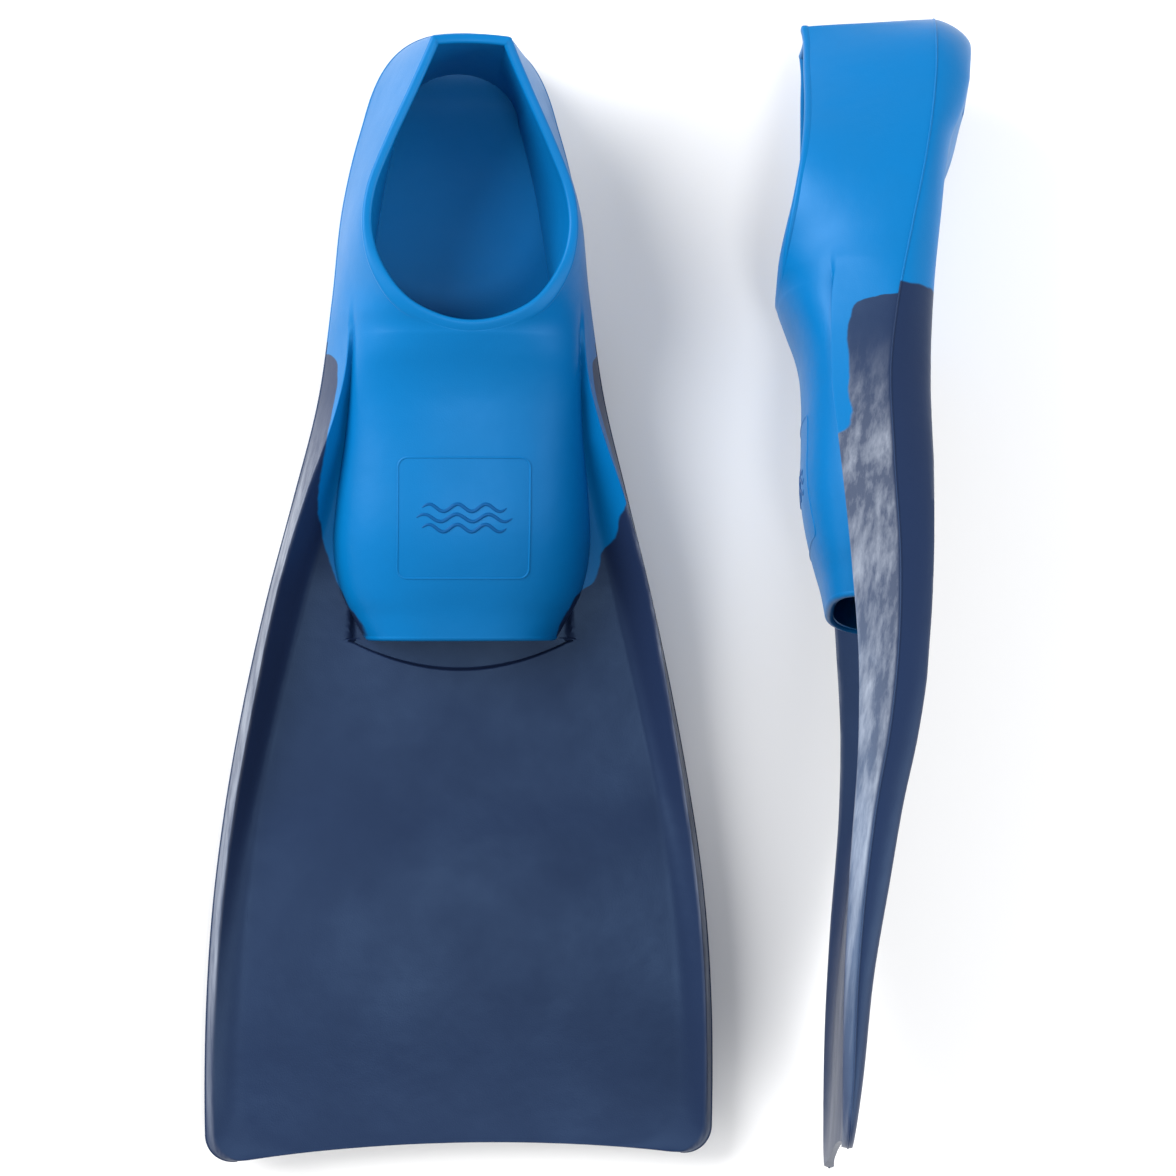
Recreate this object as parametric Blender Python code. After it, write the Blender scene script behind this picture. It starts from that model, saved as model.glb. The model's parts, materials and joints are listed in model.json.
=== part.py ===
"""A pair of full-foot swim fins: one lies sole down, the other stands on its long edge.

Both fins are the same symmetric moulding in two rubber compounds. Each is modelled in a fin
frame in millimetres: x across, t along from the back of the heel to the tip, z up from the sole.
place() turns that frame into metres and lays the fin down or stands it on edge.
"""
import math

import bmesh
import bpy
import numpy as np
from mathutils import Matrix

MM = 0.001
GAP = 0.35                 # clearance between neighbouring solids
WALL = 4.0                 # wall of the foot pocket
FIN_LENGTH = 480.0
HEEL_CENTRE = 40.0         # t of the centre of the heel's round back
HEEL_SIDE = 38.0           # seam between the heel counter and the quarters
INSTEP_SEAM = 123.3        # seam between the heel half and the forefoot half
TOE_EDGE = 257.0           # front edge of the vamp, under the toe bead
FLEX_T = 290.0             # the blade's flex line
FLEX_Z = 13.5
KNUCKLE = 17.0             # radius of the rounded joint at the flex line
RAIL_WIDTH = 14.0
RIM_BEAD = 2.4
TOE_BEAD = 1.7
RIM_BACK = 15.6            # the foot opening's rim runs from here
RIM_FRONT = 132.0          # to here
TONGUE_REACH = 12.5        # how far ahead of the seam the vamp starts at its middle
TIP_CORNER = 13.0          # radius of the tip's two corners
TIP_DISH = 5.5             # how far the tip's edge is hollowed in the middle

FLAT_FIN_AXIS = -55.0      # where the lying fin's centre line is, in X
HEEL_Y = 240.0             # where both heels are, in Y
EDGE_FIN_HEEL = (161.2, 241.6)
EDGE_FIN_PITCH = 11.1      # the standing fin rests on its heel and its rail, so its tip is higher
EDGE_FIN_ROLL = 10.2       # its sides draw in upwards, so it leans onto its rim
EDGE_FIN_TOE_IN = 7.4      # and it stands a little askew

BLADE_STATIONS = np.concatenate([[277, 284], np.arange(294, 465, 14), [467, 472, 476.5, 479.5]])

BLUE = (0.0, 0.165, 0.52, 1.0)
NAVY = (0.018, 0.03, 0.075, 1.0)


def curve(*points):
    """A smooth curve through (t, value) points, as a function of t."""
    knots = np.array([p[0] for p in points], float)
    values = np.array([p[1] for p in points], float)
    slopes = np.gradient(values, knots)

    def at(t):
        t = np.clip(np.asarray(t, float), knots[0], knots[-1])
        i = np.clip(np.searchsorted(knots, t, side="right") - 1, 0, len(knots) - 2)
        span = knots[i + 1] - knots[i]
        s = (t - knots[i]) / span
        return (
            values[i] * (1 + 2 * s) * (1 - s) ** 2
            + values[i + 1] * s * s * (3 - 2 * s)
            + span * s * (1 - s) * (slopes[i] * (1 - s) - slopes[i + 1] * s)
        )

    return at


# Profiles along the fin, in millimetres
flare = curve((40, 42), (74, 49.5), (116, 54.5), (159, 60.5), (201, 71), (243, 82), (286, 91.5),
              (328, 99), (371, 104.5), (413, 107.3), (445, 108), (480, 107.6))
ridge_z = curve((0, 17), (38, 14.5), (77, 16), (108, 19.2), (141, 22.4), (170, 23.2), (211, 19),
                (258, 13.3), (296, 11.8), (325, 12.8), (350, 15.2), (382, 16.8), (416, 17),
                (457, 15.4), (480, 15))
heel_bottom = curve((0, 13), (1.7, 7.6), (8, 1.7), (15, 0), (34, 0), (51, 2.4), (63, 5.7),
                    (77, 7), (100, 7.6), (124, 8.1))
keel_z = curve((123, 8.1), (155, 7.6), (180, 6.2), (210, 3.3), (258, 0.4), (275, 0), (300, 0),
               (325, 1.9), (350, 5.2), (382, 8.1), (416, 11), (457, 11.9), (480, 13.2))
rail_top = curve((123, 52), (141, 49.6), (180, 46), (211, 40.4), (258, 32.3), (296, 26.8),
                 (325, 24.6), (382, 23.6), (416, 22.4), (457, 19.4), (480, 17))
rail_lean = curve((123, 6.5), (147, 8), (168, 7), (200, 3.8), (300, 3.4), (480, 2.6))
rail_width = curve((123, RAIL_WIDTH), (260, RAIL_WIDTH), (340, 11.5), (420, 9.5), (480, 8))
footbed_z = curve((2, 16.6), (8, 12), (16, 7), (30, 6.5), (60, 11), (100, 13.6), (150, 13.8),
                  (200, 13), (240, 14), (262, 14.8), (276, 14.6))
plate_bottom = curve((123, 8.1), (155, 7.6), (180, 6.4), (202, 6), (225, 8), (250, 10.2),
                     (276, 10.6))
web_thickness = curve((270, 4), (350, 3), (480, 2.2))
rim_x = curve((15.6, 15.5), (31, 23.5), (55, 34), (72, 40.3), (84, 42.2), (98, 41), (111, 36),
              (122.5, 27), (129.5, 14), (132, 0))
rim_z = curve((15.6, 69.5), (31, 68), (58, 65.6), (80, 65.4), (98, 67), (111, 69), (122.5, 71),
              (132, 72))
side_power = curve((38, 1.8), (65, 1.7), (90, 1.35), (124, 1.0))
vamp_half = curve((123, 45), (150, 47.5), (175, 50), (205, 53), (222, 53.5), (240, 50.5),
                  (250, 46.5), (258, 42))
vamp_top = curve((123, 74), (136, 66.5), (145, 60), (170, 57), (214, 53.6), (236, 47.2),
                 (250, 42), (258, 40))


def half_width(t):
    """Half the fin's width at its widest line: round at the heel and at the tip's corners."""
    t = np.asarray(t, float)
    back = np.clip((HEEL_CENTRE - t) / HEEL_CENTRE, 0, 1)
    corner = np.clip((t - (FIN_LENGTH - TIP_CORNER)) / TIP_CORNER, 0, 1)
    round_off = TIP_CORNER * (1 - np.sqrt(1 - corner ** 2))
    return flare(np.maximum(t, HEEL_CENTRE)) * np.sqrt(1 - back ** 2) - round_off


def knuckle(z, radius):
    """The t of the round surface at the flex line, at height z."""
    return FLEX_T - np.sqrt(np.maximum(radius ** 2 - (z - FLEX_Z) ** 2, 0))


def material(name, colour):
    """A plain rubber material."""
    made = bpy.data.materials.new(name)
    made.diffuse_color = colour
    made.use_nodes = True
    shader = made.node_tree.nodes["Principled BSDF"]
    shader.inputs["Base Color"].default_value = colour
    shader.inputs["Roughness"].default_value = 0.42
    shader.inputs["Metallic"].default_value = 0.0
    return made


def place(mesh_object, frame, collection):
    """Links an object made in the fin frame and puts it at the fin's place."""
    collection.objects.link(mesh_object)
    mesh_object.matrix_world = frame


def slab(name, outer, inner, colour, frame, collection):
    """A closed solid between two grids of points (rows, columns, xtz) that face each other."""
    rows, columns = outer.shape[:2]
    grid = np.arange(rows * columns).reshape(rows, columns)
    shift = rows * columns
    faces = []
    for i in range(rows - 1):
        for j in range(columns - 1):
            quad = [grid[i, j], grid[i + 1, j], grid[i + 1, j + 1], grid[i, j + 1]]
            faces.append(quad)
            faces.append([k + shift for k in reversed(quad)])
    edge = [*grid[0, :-1], *grid[:-1, -1], *grid[-1, :0:-1], *grid[:0:-1, 0]]
    for a, b in zip(edge, edge[1:] + edge[:1]):
        faces.append([a, b, b + shift, a + shift])
    points = np.concatenate([outer.reshape(-1, 3), inner.reshape(-1, 3)]) * (MM, -MM, MM)
    shape = bmesh.new()
    corners = [shape.verts.new(p) for p in points]
    for face in faces:
        shape.faces.new([corners[k] for k in face])
    bmesh.ops.recalc_face_normals(shape, faces=shape.faces)
    mesh = bpy.data.meshes.new(name)
    shape.to_mesh(mesh)
    shape.free()
    mesh.materials.append(material(name, colour))
    mesh.shade_smooth()
    mesh.set_sharp_from_angle(angle=math.radians(35))
    place(bpy.data.objects.new(name, mesh), frame, collection)


def bead(name, points, radius, cyclic, colour, frame, collection):
    """A round bead along a path of (x, t, z) points."""
    path = bpy.data.curves.new(name, "CURVE")
    path.dimensions = "3D"
    path.bevel_depth = radius * MM
    path.bevel_resolution = 2
    path.use_fill_caps = not cyclic
    spline = path.splines.new("POLY")
    spline.points.add(len(points) - 1)
    for knot, (x, t, z) in zip(spline.points, points):
        knot.co = (x * MM, -t * MM, z * MM, 1)
    spline.use_cyclic_u = cyclic
    path.materials.append(material(name, colour))
    place(bpy.data.objects.new(name, path), frame, collection)


def mirrored(half):
    """A row of columns from the centre outwards, made whole by its mirror image in x."""
    other = half[:, :0:-1] * (-1, 1, 1)
    return np.concatenate([other, half], axis=1)


def stack(x, t, z):
    """Stacks three grids into one of (x, t, z) points."""
    return np.stack(np.broadcast_arrays(x, t, z), axis=-1).astype(float)


def flat_side(side, grid):
    """The same grid on the left (-1) or on the right (1)."""
    return grid * (side, 1, 1)


def sole(name, frame, collection):
    """Tray under the heel and arch: a flat bottom, a bevel up to the widest line, a footbed."""
    t = np.array([0.6, 2, 5, 9, 15, 24, 34, 44, 55, 65, 77, 90, 106, INSTEP_SEAM - GAP])[:, None]
    wide = half_width(t)
    low = np.maximum(heel_bottom(t), 0)
    high = ridge_z(t)
    flat = np.maximum(wide - 9, wide * 0.35)
    bottom = stack(
        np.hstack([0 * t, flat * 0.5, flat, (flat + wide) / 2, wide]),
        t,
        np.hstack([low, low, low, low + (high - low) * 0.35, high - 2]),
    )
    bed = np.minimum(footbed_z(t), high)
    top = stack(
        np.hstack([0 * t, wide * 0.3, np.maximum(wide - 9, wide * 0.5),
                   np.maximum(wide - WALL - 1.5, wide * 0.7), wide]),
        t,
        np.hstack([bed, bed, bed, high, high]),
    )
    slab(name, mirrored(bottom), mirrored(top), BLUE, frame, collection)


def heel_counter(name, frame, collection):
    """Wall round the back of the heel, leaning in from the sole up to the rim."""
    turn = np.linspace(0, 1, 9)[:, None]
    rise = np.linspace(0, 1, 7)[None, :]
    foot_t = HEEL_SIDE * (1 - np.cos(turn * math.pi / 2))
    rim_t = RIM_BACK + (HEEL_SIDE - RIM_BACK) * np.clip((turn - 0.4) / 0.6, 0, 1)
    rim_half = np.where(turn < 0.4, rim_x(RIM_BACK) * turn / 0.4, rim_x(rim_t))
    foot_z = ridge_z(foot_t) + GAP
    top_z = rim_z(rim_t) - RIM_BEAD - 1
    lean = rise ** 1.15
    x = half_width(foot_t) * (1 - lean) + rim_half * lean
    t = foot_t * (1 - lean) + rim_t * lean
    z = foot_z + (top_z - foot_z) * rise
    outer = stack(x, t, z).transpose(1, 0, 2)
    inward = stack(-np.sin(turn * math.pi / 2), np.cos(turn * math.pi / 2), 0 * turn)
    inner = outer + WALL * inward.transpose(1, 0, 2)
    inner[:, 0, 0] = 0
    slab(name, mirrored(outer), mirrored(inner), BLUE, frame, collection)


def arch(foot_x, foot_z, crown_x, crown_z, sweep, power):
    """A quarter of a superellipse from the foot (sweep 0) to the crown (sweep 1)."""
    angle = sweep * math.pi / 2
    x = crown_x + (foot_x - crown_x) * np.cos(angle) ** power
    z = foot_z + (crown_z - foot_z) * np.sin(angle) ** power
    return x, z


def quarter(name, side, frame, collection):
    """Side wall from the heel counter to the instep, from the widest line up to the rim."""
    t = np.linspace(HEEL_SIDE + GAP, INSTEP_SEAM - GAP, 12)[:, None]
    sweep = np.linspace(0, 1, 9)[None, :]
    foot_z = ridge_z(t) + GAP
    crown_x = rim_x(t) + np.clip((t - 90) / 30, 0, 1) * 2.4
    crown_z = rim_z(t) - RIM_BEAD - 1
    power = side_power(t)
    outer_x, outer_z = arch(half_width(t), foot_z, crown_x, crown_z, sweep, power)
    inner_x, inner_z = arch(half_width(t) - WALL, foot_z, crown_x - WALL * 0.8,
                            crown_z - WALL * np.clip((t - 80) / 40, 0, 0.9), sweep, power)
    outer = stack(outer_x, t, outer_z)
    inner = stack(inner_x, t, inner_z)
    slab(name, flat_side(side, outer), flat_side(side, inner), BLUE, frame, collection)


def vamp(name, frame, collection):
    """Arch over the forefoot, from the tongue of the rim to the toe edge, on the plate."""
    sweep = np.linspace(1, 0, 11)[None, :]
    along = np.linspace(0, 1, 15)[:, None] ** 1.2
    start = INSTEP_SEAM + GAP + TONGUE_REACH * np.clip((sweep - 0.45) / 0.45, 0, 1) ** 0.6
    t = start + (TOE_EDGE - start) * along
    base = footbed_z(t) + GAP
    outer_x, outer_z = arch(vamp_half(t), base, 0, vamp_top(t), sweep, 0.78)
    inner_x, inner_z = arch(vamp_half(t) - WALL, base, 0, vamp_top(t) - WALL, sweep, 0.78)
    slab(name, mirrored(stack(outer_x, t, outer_z)), mirrored(stack(inner_x, t, inner_z)), BLUE,
         frame, collection)


def topline_bead(name, frame, collection):
    """Rolled rim round the foot opening."""
    t = RIM_FRONT - (RIM_FRONT - RIM_BACK) * (1 - np.sin(np.linspace(0, math.pi / 2, 22)))
    half = [(x, RIM_BACK, float(rim_z(RIM_BACK))) for x in (0, 8)]
    half += [(float(rim_x(v)), float(v), float(rim_z(v))) for v in t[:-1]]
    front = [(0, RIM_FRONT, float(rim_z(RIM_FRONT)))]
    whole = half + front + [(-x, v, z) for x, v, z in half[:0:-1]]
    bead(name, whole, RIM_BEAD, True, BLUE, frame, collection)


def toe_bead(name, frame, collection):
    """Rolled lip on the toe edge of the vamp."""
    t = TOE_EDGE + TOE_BEAD + GAP
    sweep = np.linspace(0.04, 1, 12)
    x, z = arch(vamp_half(t) - WALL / 2, footbed_z(t) + TOE_BEAD + GAP, 0,
                vamp_top(t) - WALL / 2, sweep, 0.78)
    half = [(float(a), t, float(b)) for a, b in zip(x, z)]
    bead(name, half + [(-a, c, b) for a, c, b in half[-2::-1]], TOE_BEAD, False, BLUE, frame,
         collection)


def root_inside(t):
    """Half the width between the rail roots, outside the vamp's feet."""
    return np.maximum(vamp_half(t) + GAP, half_width(t) - rail_width(t))


def forefoot_plate(name, frame, collection):
    """Plate under the forefoot, thinning into the blade, with a hollow round end."""
    t = np.append(np.arange(INSTEP_SEAM + GAP, 268, 12), [268, 276])[:, None]
    across = np.linspace(0, 1, 4)[None, :] * (root_inside(t) - GAP)
    pull = (t >= 276).astype(float)
    grids = []
    for height in (footbed_z(t), plate_bottom(t)):
        end = knuckle(height, KNUCKLE + 0.5)
        grids.append(mirrored(stack(across, t * (1 - pull) + end * pull, height)))
    slab(name, grids[0], grids[1], NAVY, frame, collection)


def rail_grids(t, inside, pull_start, pull_end):
    """Outer and inner surface of a rail over stations t; levels run from the keel to the crest."""
    wide = half_width(t)
    keel = np.maximum(keel_z(t), 0)
    ridge = ridge_z(t)
    crest = rail_top(t)
    lean = rail_lean(t)
    deep = np.minimum(5.0, (ridge - keel) * 0.45)
    level = [(0.0, deep), (0.5, deep * 0.45), (1.0, 0), (1.35, lean * 0.3), (1.7, lean * 0.65),
             (2.0, lean)]
    heights, outer_x, inner_x = [], [], []
    top_inside = np.maximum(inside, wide - lean - np.minimum(4.2, rail_width(t) * 0.45))
    for share, inset in level:
        height = keel + (ridge - keel) * min(share, 1) + (crest - ridge) * max(share - 1, 0)
        heights.append(height)
        outer_x.append(wide - inset)
        inner_x.append(inside + (top_inside - inside) * max(share - 1.35, 0) / 0.65)
    z = np.hstack(heights)
    along = t * (1 - pull_start - pull_end)
    along = along + pull_start * knuckle(z, KNUCKLE) + pull_end * knuckle(z, KNUCKLE + 0.5)
    outer = stack(np.hstack(outer_x), along, z)
    inner = stack(np.hstack([x + 0 * wide for x in inner_x]), along, z)
    return outer, inner


def rail_root(name, side, frame, collection):
    """Rail beside the forefoot, full height from the keel to the crest."""
    t = np.append(np.arange(INSTEP_SEAM + GAP, 268, 12), [268, 276])[:, None]
    grids = rail_grids(t, root_inside(t), 0 * t, (t >= 276).astype(float))
    slab(name, flat_side(side, grids[0]), flat_side(side, grids[1]), NAVY, frame, collection)


def rail(name, side, frame, collection):
    """Rail along the blade, from its round root to the tip's corner."""
    t = BLADE_STATIONS[:, None]
    grids = rail_grids(t, half_width(t) - rail_width(t), (t <= 277).astype(float), 0 * t)
    slab(name, flat_side(side, grids[0]), flat_side(side, grids[1]), NAVY, frame, collection)


def blade_web(name, frame, collection):
    """Thin web between the rails, with a round root and a hollowed tip edge."""
    t = BLADE_STATIONS[:, None]
    share = np.linspace(0, 1, 7)[None, :]
    span = half_width(t) - rail_width(t) - 2 * GAP
    t = t - TIP_DISH * (1 - share ** 2) * np.clip((t - 400) / 80, 0, 1)
    root = (t <= 277).astype(float)
    grids = []
    for way in (0.5, -0.5):
        height = ridge_z(t) + way * web_thickness(t)
        along = t * (1 - root) + root * knuckle(height, KNUCKLE)
        grids.append(mirrored(stack(share * span, along, height)))
    slab(name, grids[0], grids[1], NAVY, frame, collection)


def fin(prefix, frame, collection):
    """All the pieces of one fin."""
    sole(prefix + "_sole", frame, collection)
    heel_counter(prefix + "_heel_counter", frame, collection)
    vamp(prefix + "_vamp", frame, collection)
    topline_bead(prefix + "_topline_bead", frame, collection)
    toe_bead(prefix + "_toe_bead", frame, collection)
    forefoot_plate(prefix + "_forefoot_plate", frame, collection)
    blade_web(prefix + "_blade_web", frame, collection)
    for label, side in (("left", 1), ("right", -1)):
        quarter(f"{prefix}_{label}_quarter", side, frame, collection)
        rail_root(f"{prefix}_{label}_rail_root", side, frame, collection)
        rail(f"{prefix}_{label}_rail", side, frame, collection)


def edge_frame():
    """The standing fin's place: on its long edge, dorsal side to -X, before it is set down."""
    x, y = EDGE_FIN_HEEL
    return (
        Matrix.Translation((x * MM, y * MM, 0))
        @ Matrix.Rotation(math.radians(-EDGE_FIN_TOE_IN), 4, "Z")
        @ Matrix.Rotation(math.radians(-EDGE_FIN_PITCH), 4, "X")
        @ Matrix.Rotation(math.radians(-90 - EDGE_FIN_ROLL), 4, "Y")
    )


def lowest_point(piece):
    """Height of a mesh's lowest point, or of the lowest side of a bead round its path."""
    if piece.type == "MESH":
        return min((piece.matrix_world @ v.co).z for v in piece.data.vertices)
    knots = piece.data.splines[0].points
    return min((piece.matrix_world @ knot.co.xyz).z for knot in knots) - piece.data.bevel_depth


def set_down(pieces):
    """Lifts or lowers the pieces together until their lowest point is on the ground."""
    lowest = min(lowest_point(piece) for piece in pieces)
    for piece in pieces:
        piece.matrix_world = Matrix.Translation((0, 0, -lowest)) @ piece.matrix_world


def main():
    for old in list(bpy.data.objects):
        bpy.data.objects.remove(old, do_unlink=True)
    collection = bpy.data.collections.new("swim_fins")
    bpy.context.scene.collection.children.link(collection)
    fin("fin_a", Matrix.Translation((FLAT_FIN_AXIS * MM, HEEL_Y * MM, 0)), collection)
    fin("fin_b", edge_frame(), collection)
    set_down([p for p in collection.objects if p.name.startswith("fin_b")])


main()
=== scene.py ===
# A pair of two-colour rubber swim fins: fin A lies on its sole, fin B stands on its edge.
# Each fin is worked out in its own frame, in millimetres: x across, t from the heel to the tip,
# z up from the sole. Both fins share one set of profiles.
import json

import bmesh
import bpy
import numpy as np
from mathutils import Matrix, Vector


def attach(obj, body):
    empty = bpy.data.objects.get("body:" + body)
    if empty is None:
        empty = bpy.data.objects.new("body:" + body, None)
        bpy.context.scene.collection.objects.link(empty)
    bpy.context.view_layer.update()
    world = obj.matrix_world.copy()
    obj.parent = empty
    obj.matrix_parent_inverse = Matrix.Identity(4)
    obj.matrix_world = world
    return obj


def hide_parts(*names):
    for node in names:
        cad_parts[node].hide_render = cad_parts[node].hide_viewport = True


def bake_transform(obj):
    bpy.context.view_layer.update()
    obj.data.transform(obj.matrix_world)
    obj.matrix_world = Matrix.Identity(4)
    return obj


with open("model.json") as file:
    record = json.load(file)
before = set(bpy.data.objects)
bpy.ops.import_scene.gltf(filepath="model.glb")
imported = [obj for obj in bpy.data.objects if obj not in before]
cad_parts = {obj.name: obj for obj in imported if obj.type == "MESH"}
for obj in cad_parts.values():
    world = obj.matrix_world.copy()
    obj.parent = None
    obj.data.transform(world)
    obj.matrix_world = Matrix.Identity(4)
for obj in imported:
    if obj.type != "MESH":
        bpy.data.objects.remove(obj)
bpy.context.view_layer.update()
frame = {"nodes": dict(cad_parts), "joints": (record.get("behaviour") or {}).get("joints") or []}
print("frame loaded:", len(frame["nodes"]), "CAD nodes")

metresPerMm = 0.001
flexPoint = (0.0, 290.0, 13.5)  # where the blade flex axis crosses the fin, in the fin's frame
fins = {
    "fin_a": {"toeIn": 0.0, "pitch": 0.0, "roll": 0.0},
    "fin_b": {"toeIn": -7.4, "pitch": -11.1, "roll": -100.2},
}


# curves and blends
def profile(*points):
    # a smooth line through (t, value) pairs: cubic pieces that share their slopes at the points
    at, value = np.array(points, float).T
    slope = np.gradient(value, at)

    def read(t):
        t = np.clip(t, at[0], at[-1])
        i = np.clip(np.searchsorted(at, t) - 1, 0, len(at) - 2)
        step = at[i + 1] - at[i]
        q = (t - at[i]) / step
        start = (1 + 2 * q) * (1 - q) ** 2 * value[i] + q * (1 - q) ** 2 * step * slope[i]
        end = q * q * (3 - 2 * q) * value[i + 1] - q * q * (1 - q) * step * slope[i + 1]
        return start + end

    return read


def ease(start, end, value):
    q = np.clip((value - start) / (end - start), 0, 1)
    return q * q * (3 - 2 * q)


def softMin(a, b, reach):
    # the lower of two heights, with the corner between them rounded over reach
    near = np.maximum(reach - np.abs(a - b), 0) / reach
    return np.minimum(a, b) - near * near * reach / 4


def softMax(a, b, reach):
    return -softMin(-a, -b, reach)


def archRise(r, power):
    # a superellipse quarter: 1 at the crown (r = 0), 0 at the foot (r = 1)
    return np.maximum(1 - np.clip(r, 0, 1) ** (2 / power), 0) ** (power / 2)


def evenRows(*counts):
    # rows numbered 0..len(counts), closer together near each whole number
    parts = [i + (1 - np.cos(np.pi * np.arange(n) / n)) / 2 for i, n in enumerate(counts)]
    return np.append(np.concatenate(parts), len(counts))


# the fin's own lines
fin = {
    "length": 480.0,
    "heelCentre": 40.0,
    "heelBack": 2.5,
    "heelSquare": 2.3,  # the heel's outline is a superellipse of this power
    "tipCorner": 13.0,
    "tipDish": 6.0,
    "toeEdge": 259.0,
}
flare = profile((40, 41), (54, 45), (76, 49.8), (116, 54.5), (159, 60.5), (201, 71), (243, 82),
                (286, 91.5), (328, 99), (371, 104.5), (413, 107.3), (445, 108), (480, 107.6))
ridgeZ = profile((0, 17), (38, 14.5), (77, 16), (108, 19.2), (141, 22.4), (170, 23.2), (211, 19),
                 (258, 13.3), (296, 11.8), (325, 12.8), (350, 15.2), (382, 16.8), (416, 17),
                 (457, 15.4), (480, 15))
keelLine = profile((15, 0), (34, 0), (51, 2.4), (63, 5.7), (77, 7), (100, 7.6), (124, 8.1),
                   (155, 7.6), (180, 6.2), (210, 3.3), (258, 0.4), (275, 0), (300, 0), (325, 1.9),
                   (350, 5.2), (382, 8.1), (416, 11), (457, 11.9), (480, 13.2))
railTop = profile((123, 52), (141, 49.6), (180, 46), (211, 40.4), (258, 32.3), (296, 26.8),
                  (325, 24.6), (382, 23.6), (416, 22.4), (457, 19.4), (480, 17))
railLean = profile((123, 6.5), (147, 8), (168, 7), (200, 3.8), (300, 3.4), (480, 2.6))
railWidth = profile((123, 14), (260, 14), (340, 11.5), (420, 9.5), (480, 8))
webThickness = profile((259, 6), (300, 4.4), (350, 3.2), (480, 2.2))


def halfWidth(t):
    corner = np.clip((t - fin["length"] + fin["tipCorner"]) / fin["tipCorner"], 0, 1)
    return flare(t) - fin["tipCorner"] * (1 - np.sqrt(1 - corner**2))


def keelZ(t):
    return np.maximum(keelLine(t), 0)


# meshes
def closeGrids(outer, inner, openRows=0, caps=False):
    # two grids of the half x >= 0, outer skin and inner skin, joined round their borders. Column 0
    # is the middle of the fin, or the edge of the opening over the first openRows stations. Without
    # caps the front end stays open, and makePiece fills it with one flat face.
    stations, rows = outer.shape[:2]
    number = np.arange(stations * rows).reshape(stations, rows)
    far = number + stations * rows

    def strip(a, b):
        return np.stack([a[:-1], a[1:], b[1:], b[:-1]], -1).reshape(-1, 4)

    def skin(grid):
        quads = [grid[:-1, :-1], grid[1:, :-1], grid[1:, 1:], grid[:-1, 1:]]
        return np.stack(quads, -1).reshape(-1, 4)

    faces = [skin(number), skin(far), strip(number[:, -1], far[:, -1])]
    if openRows:
        faces.append(strip(number[:openRows, 0], far[:openRows, 0]))
    if caps:
        faces.append(strip(number[0], far[0]))
        faces.append(strip(number[-1], far[-1]))
    faces = np.concatenate(faces)
    points = np.concatenate([outer.reshape(-1, 3), inner.reshape(-1, 3)])
    faces = np.concatenate([faces, faces[:, ::-1] + len(points)])
    return np.concatenate([points, points * (-1, 1, 1)]), faces


def tube(path, across, up, halfWide, halfHigh, sides=20, loop=False, square=1.0):
    # an ellipse of half width across and half height up, carried along the path. A square below 1
    # flattens it towards a rounded band.
    turn = np.linspace(0, 2 * np.pi, sides, endpoint=False)
    halfWide, halfHigh = (np.broadcast_to(v, len(path))[:, None, None] for v in (halfWide, halfHigh))
    side, rise = (np.sign(v) * np.abs(v) ** square for v in (np.cos(turn), np.sin(turn)))
    ring = across[:, None] * halfWide * side[:, None]
    ring = ring + up[:, None] * halfHigh * rise[:, None]
    points = (path[:, None] + ring).reshape(-1, 3)
    number = np.arange(len(points)).reshape(len(path), sides)
    if loop:
        number = np.concatenate([number, number[:1]])
    number = np.concatenate([number, number[:, :1]], 1)
    quads = [number[:-1, :-1], number[1:, :-1], number[1:, 1:], number[:-1, 1:]]
    return points, np.stack(quads, -1).reshape(-1, 4)


def tangents(path, loop=False):
    ahead, behind = np.roll(path, -1, 0), np.roll(path, 1, 0)
    if not loop:
        ahead[-1], behind[0] = path[-1], path[0]
    way = ahead - behind
    return way / np.linalg.norm(way, axis=1)[:, None]


def joinShapes(*shapes):
    points, faces, start = [], [], 0
    for shapePoints, shapeFaces in shapes:
        points.append(shapePoints)
        faces.append(shapeFaces + start)
        start += len(shapePoints)
    return np.concatenate(points), np.concatenate(faces)


def finMatrix(name):
    # the fin's frame to the scene: (x, -t, z) turned about its own axes and set at its flex joint
    turn = fins[name]
    turned = (Matrix.Rotation(np.radians(turn["toeIn"]), 3, "Z")
              @ Matrix.Rotation(np.radians(turn["pitch"]), 3, "X")
              @ Matrix.Rotation(np.radians(turn["roll"]), 3, "Y"))
    turned = np.array(turned) @ np.diag((1, -1, 1)) * metresPerMm
    joint = next(j for j in frame["joints"] if j["name"] == name + "_blade_flex")
    return turned, np.array(joint["pos_m"]) - turned @ np.array(flexPoint)


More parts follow.
